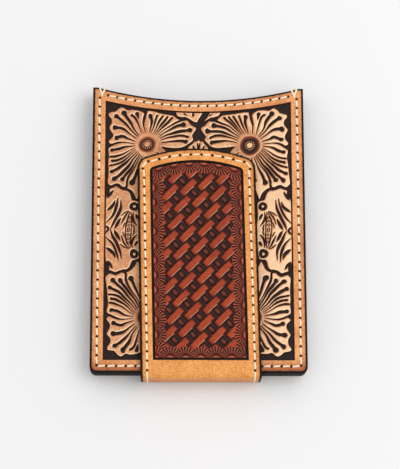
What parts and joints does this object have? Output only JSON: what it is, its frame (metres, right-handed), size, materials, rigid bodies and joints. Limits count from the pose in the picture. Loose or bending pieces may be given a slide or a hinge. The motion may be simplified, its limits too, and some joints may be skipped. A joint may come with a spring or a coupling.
{
  "type": "money clip",
  "caption": "Leather money clip: a card case with a carved floral front and a basket-stamped strap that folds round its foot and closes on the front with magnets.",
  "frame": {"origin": "middle of the outline, on the tail's outer face that it lies on", "axes": "+X across to the right, +Y towards the pocket's mouth, +Z out of the carved front"},
  "size_m": [0.066, 0.0932, 0.0103],
  "materials": {
    "carved_leather": "veg-tanned leather, floral carving with black dyed background, oiled",
    "stamped_leather": "veg-tanned leather, red-brown basket stamp with black antiquing, tan border",
    "plain_leather": "smooth veg-tanned leather with black painted edges",
    "lining_leather": "thin flesh-side lining leather",
    "thread": "waxed cream thread",
    "magnet": "nickel plated"
  },
  "bodies": {
    "card_case": {"front_panel": "carved_leather", "front_lining": "lining_leather", "case_magnets": "magnet", "pocket_welt": "lining_leather", "back_lining": "lining_leather", "back_panel": "plain_leather", "edge_seam_front": "thread", "edge_seam_back": "thread", "front_scoop_seam": "thread", "back_scoop_seam": "thread", "corner_tacks": "thread", "tail_cover": "plain_leather", "tail_lining": "lining_leather", "tail_seam": "thread"},
    "fold": {"fold_cover": "plain_leather", "fold_lining": "lining_leather", "fold_seam": "thread"},
    "flap": {"flap_cover": "stamped_leather", "flap_lining": "lining_leather", "flap_magnets": "magnet", "flap_seam_front": "thread", "flap_seam_back": "thread"}
  },
  "joints": [
    {"name": "fold_bend", "type": "hinge", "parent": "card_case", "child": "fold", "pos_m": [0, -0.04532, 0.00128], "axis": [1, 0, 0], "range_deg": [0, 85]},
    {"name": "flap_bend", "type": "hinge", "parent": "fold", "child": "flap", "pos_m": [0, -0.04532, 0.00902], "axis": [1, 0, 0], "range_deg": [0, 85]}
  ],
  "couplings": [
    {"joint": "flap_bend", "follows": "fold_bend", "ratio": 1}
  ]
}
